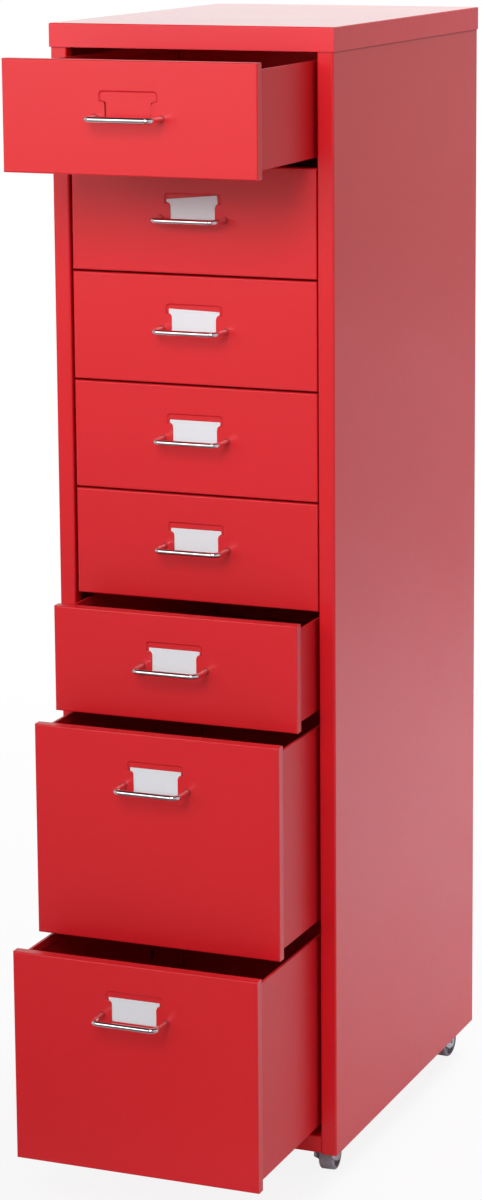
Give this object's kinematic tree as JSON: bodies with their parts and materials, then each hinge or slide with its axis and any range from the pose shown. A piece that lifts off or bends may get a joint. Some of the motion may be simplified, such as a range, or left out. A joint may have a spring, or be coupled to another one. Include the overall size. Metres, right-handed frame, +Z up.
{
  "type": "drawer cabinet",
  "caption": "Tall narrow sheet-steel cabinet of stacked pull-out drawers with rod pulls and card pockets, on swivel casters.",
  "frame": {"origin": "on the floor, under the centre of the case's footprint (the open drawers are left out)", "axes": "+Z up; +X to the right as seen from the front; drawers open towards -Y"},
  "size_m": [0.28, 0.5749, 1.09],
  "materials": {
    "case_enamel": "semi-gloss",
    "front_enamel": "semi-gloss",
    "drawer_enamel": "semi-gloss",
    "handle_chrome": "polished",
    "label_card": "matte card",
    "caster_steel": "zinc plated",
    "caster_nylon": "satin"
  },
  "bodies": {
    "cabinet": {"top_cap": "case_enamel", "side_panel_left": "case_enamel", "side_panel_right": "case_enamel", "back_panel": "case_enamel", "base_panel": "case_enamel", "runner_rails_left": "case_enamel", "runner_rails_right": "case_enamel", "caster_plates": "caster_steel"},
    "drawer_1": {"drawer_1_front": "front_enamel", "drawer_1_tray": "drawer_enamel", "drawer_1_rear_wall": "drawer_enamel", "drawer_1_handle": "handle_chrome"},
    "drawer_2": {"drawer_2_front": "front_enamel", "drawer_2_tray": "drawer_enamel", "drawer_2_rear_wall": "drawer_enamel", "drawer_2_handle": "handle_chrome", "drawer_2_label": "label_card"},
    "drawer_3": {"drawer_3_front": "front_enamel", "drawer_3_tray": "drawer_enamel", "drawer_3_rear_wall": "drawer_enamel", "drawer_3_handle": "handle_chrome", "drawer_3_label": "label_card"},
    "drawer_4": {"drawer_4_front": "front_enamel", "drawer_4_tray": "drawer_enamel", "drawer_4_rear_wall": "drawer_enamel", "drawer_4_handle": "handle_chrome", "drawer_4_label": "label_card"},
    "drawer_5": {"drawer_5_front": "front_enamel", "drawer_5_tray": "drawer_enamel", "drawer_5_rear_wall": "drawer_enamel", "drawer_5_handle": "handle_chrome", "drawer_5_label": "label_card"},
    "drawer_6": {"drawer_6_front": "front_enamel", "drawer_6_tray": "drawer_enamel", "drawer_6_rear_wall": "drawer_enamel", "drawer_6_handle": "handle_chrome", "drawer_6_label": "label_card"},
    "drawer_7": {"drawer_7_front": "front_enamel", "drawer_7_tray": "drawer_enamel", "drawer_7_rear_wall": "drawer_enamel", "drawer_7_handle": "handle_chrome", "drawer_7_label": "label_card"},
    "drawer_8": {"drawer_8_front": "front_enamel", "drawer_8_tray": "drawer_enamel", "drawer_8_rear_wall": "drawer_enamel", "drawer_8_handle": "handle_chrome", "drawer_8_label": "label_card"},
    "caster_front_left": {"caster_front_left_fork": "caster_steel", "caster_front_left_axle": "caster_steel"},
    "wheel_front_left": {"caster_front_left_wheel": "caster_nylon"},
    "caster_front_right": {"caster_front_right_fork": "caster_steel", "caster_front_right_axle": "caster_steel"},
    "wheel_front_right": {"caster_front_right_wheel": "caster_nylon"},
    "caster_rear_left": {"caster_rear_left_fork": "caster_steel", "caster_rear_left_axle": "caster_steel"},
    "wheel_rear_left": {"caster_rear_left_wheel": "caster_nylon"},
    "caster_rear_right": {"caster_rear_right_fork": "caster_steel", "caster_rear_right_axle": "caster_steel"},
    "wheel_rear_right": {"caster_rear_right_wheel": "caster_nylon"}
  },
  "joints": [
    {"name": "drawer_1_slide", "type": "slide", "parent": "cabinet", "child": "drawer_1", "axis": [0, -1, 0], "range_m": [-0.1382, 0.1518]},
    {"name": "drawer_2_slide", "type": "slide", "parent": "cabinet", "child": "drawer_2", "axis": [0, -1, 0], "range_m": [0, 0.29]},
    {"name": "drawer_3_slide", "type": "slide", "parent": "cabinet", "child": "drawer_3", "axis": [0, -1, 0], "range_m": [0, 0.29]},
    {"name": "drawer_4_slide", "type": "slide", "parent": "cabinet", "child": "drawer_4", "axis": [0, -1, 0], "range_m": [0, 0.29]},
    {"name": "drawer_5_slide", "type": "slide", "parent": "cabinet", "child": "drawer_5", "axis": [0, -1, 0], "range_m": [0, 0.29]},
    {"name": "drawer_6_slide", "type": "slide", "parent": "cabinet", "child": "drawer_6", "axis": [0, -1, 0], "range_m": [-0.0535, 0.2365]},
    {"name": "drawer_7_slide", "type": "slide", "parent": "cabinet", "child": "drawer_7", "axis": [0, -1, 0], "range_m": [-0.0987, 0.1913]},
    {"name": "drawer_8_slide", "type": "slide", "parent": "cabinet", "child": "drawer_8", "axis": [0, -1, 0], "range_m": [-0.1527, 0.1373]},
    {"name": "caster_front_left_swivel", "type": "hinge", "parent": "cabinet", "child": "caster_front_left", "pos_m": [-0.116, -0.1635, 0.044], "axis": [0, 0, 1], "continuous": true},
    {"name": "caster_front_left_roll", "type": "hinge", "parent": "caster_front_left", "child": "wheel_front_left", "pos_m": [-0.11791, -0.15368, 0.016], "axis": [0.9816, 0.1908, 0], "continuous": true},
    {"name": "caster_front_right_swivel", "type": "hinge", "parent": "cabinet", "child": "caster_front_right", "pos_m": [0.116, -0.1635, 0.044], "axis": [0, 0, 1], "continuous": true},
    {"name": "caster_front_right_roll", "type": "hinge", "parent": "caster_front_right", "child": "wheel_front_right", "pos_m": [0.11513, -0.15354, 0.016], "axis": [0.9962, 0.0872, 0], "continuous": true},
    {"name": "caster_rear_left_swivel", "type": "hinge", "parent": "cabinet", "child": "caster_rear_left", "pos_m": [-0.116, 0.1635, 0.044], "axis": [0, 0, 1], "continuous": true},
    {"name": "caster_rear_left_roll", "type": "hinge", "parent": "caster_rear_left", "child": "wheel_rear_left", "pos_m": [-0.11392, 0.17328, 0.016], "axis": [0.9781, -0.2079, 0], "continuous": true},
    {"name": "caster_rear_right_swivel", "type": "hinge", "parent": "cabinet", "child": "caster_rear_right", "pos_m": [0.116, 0.1635, 0.044], "axis": [0, 0, 1], "continuous": true},
    {"name": "caster_rear_right_roll", "type": "hinge", "parent": "caster_rear_right", "child": "wheel_rear_right", "pos_m": [0.1167, 0.17348, 0.016], "axis": [0.9976, -0.0698, 0], "continuous": true}
  ]
}
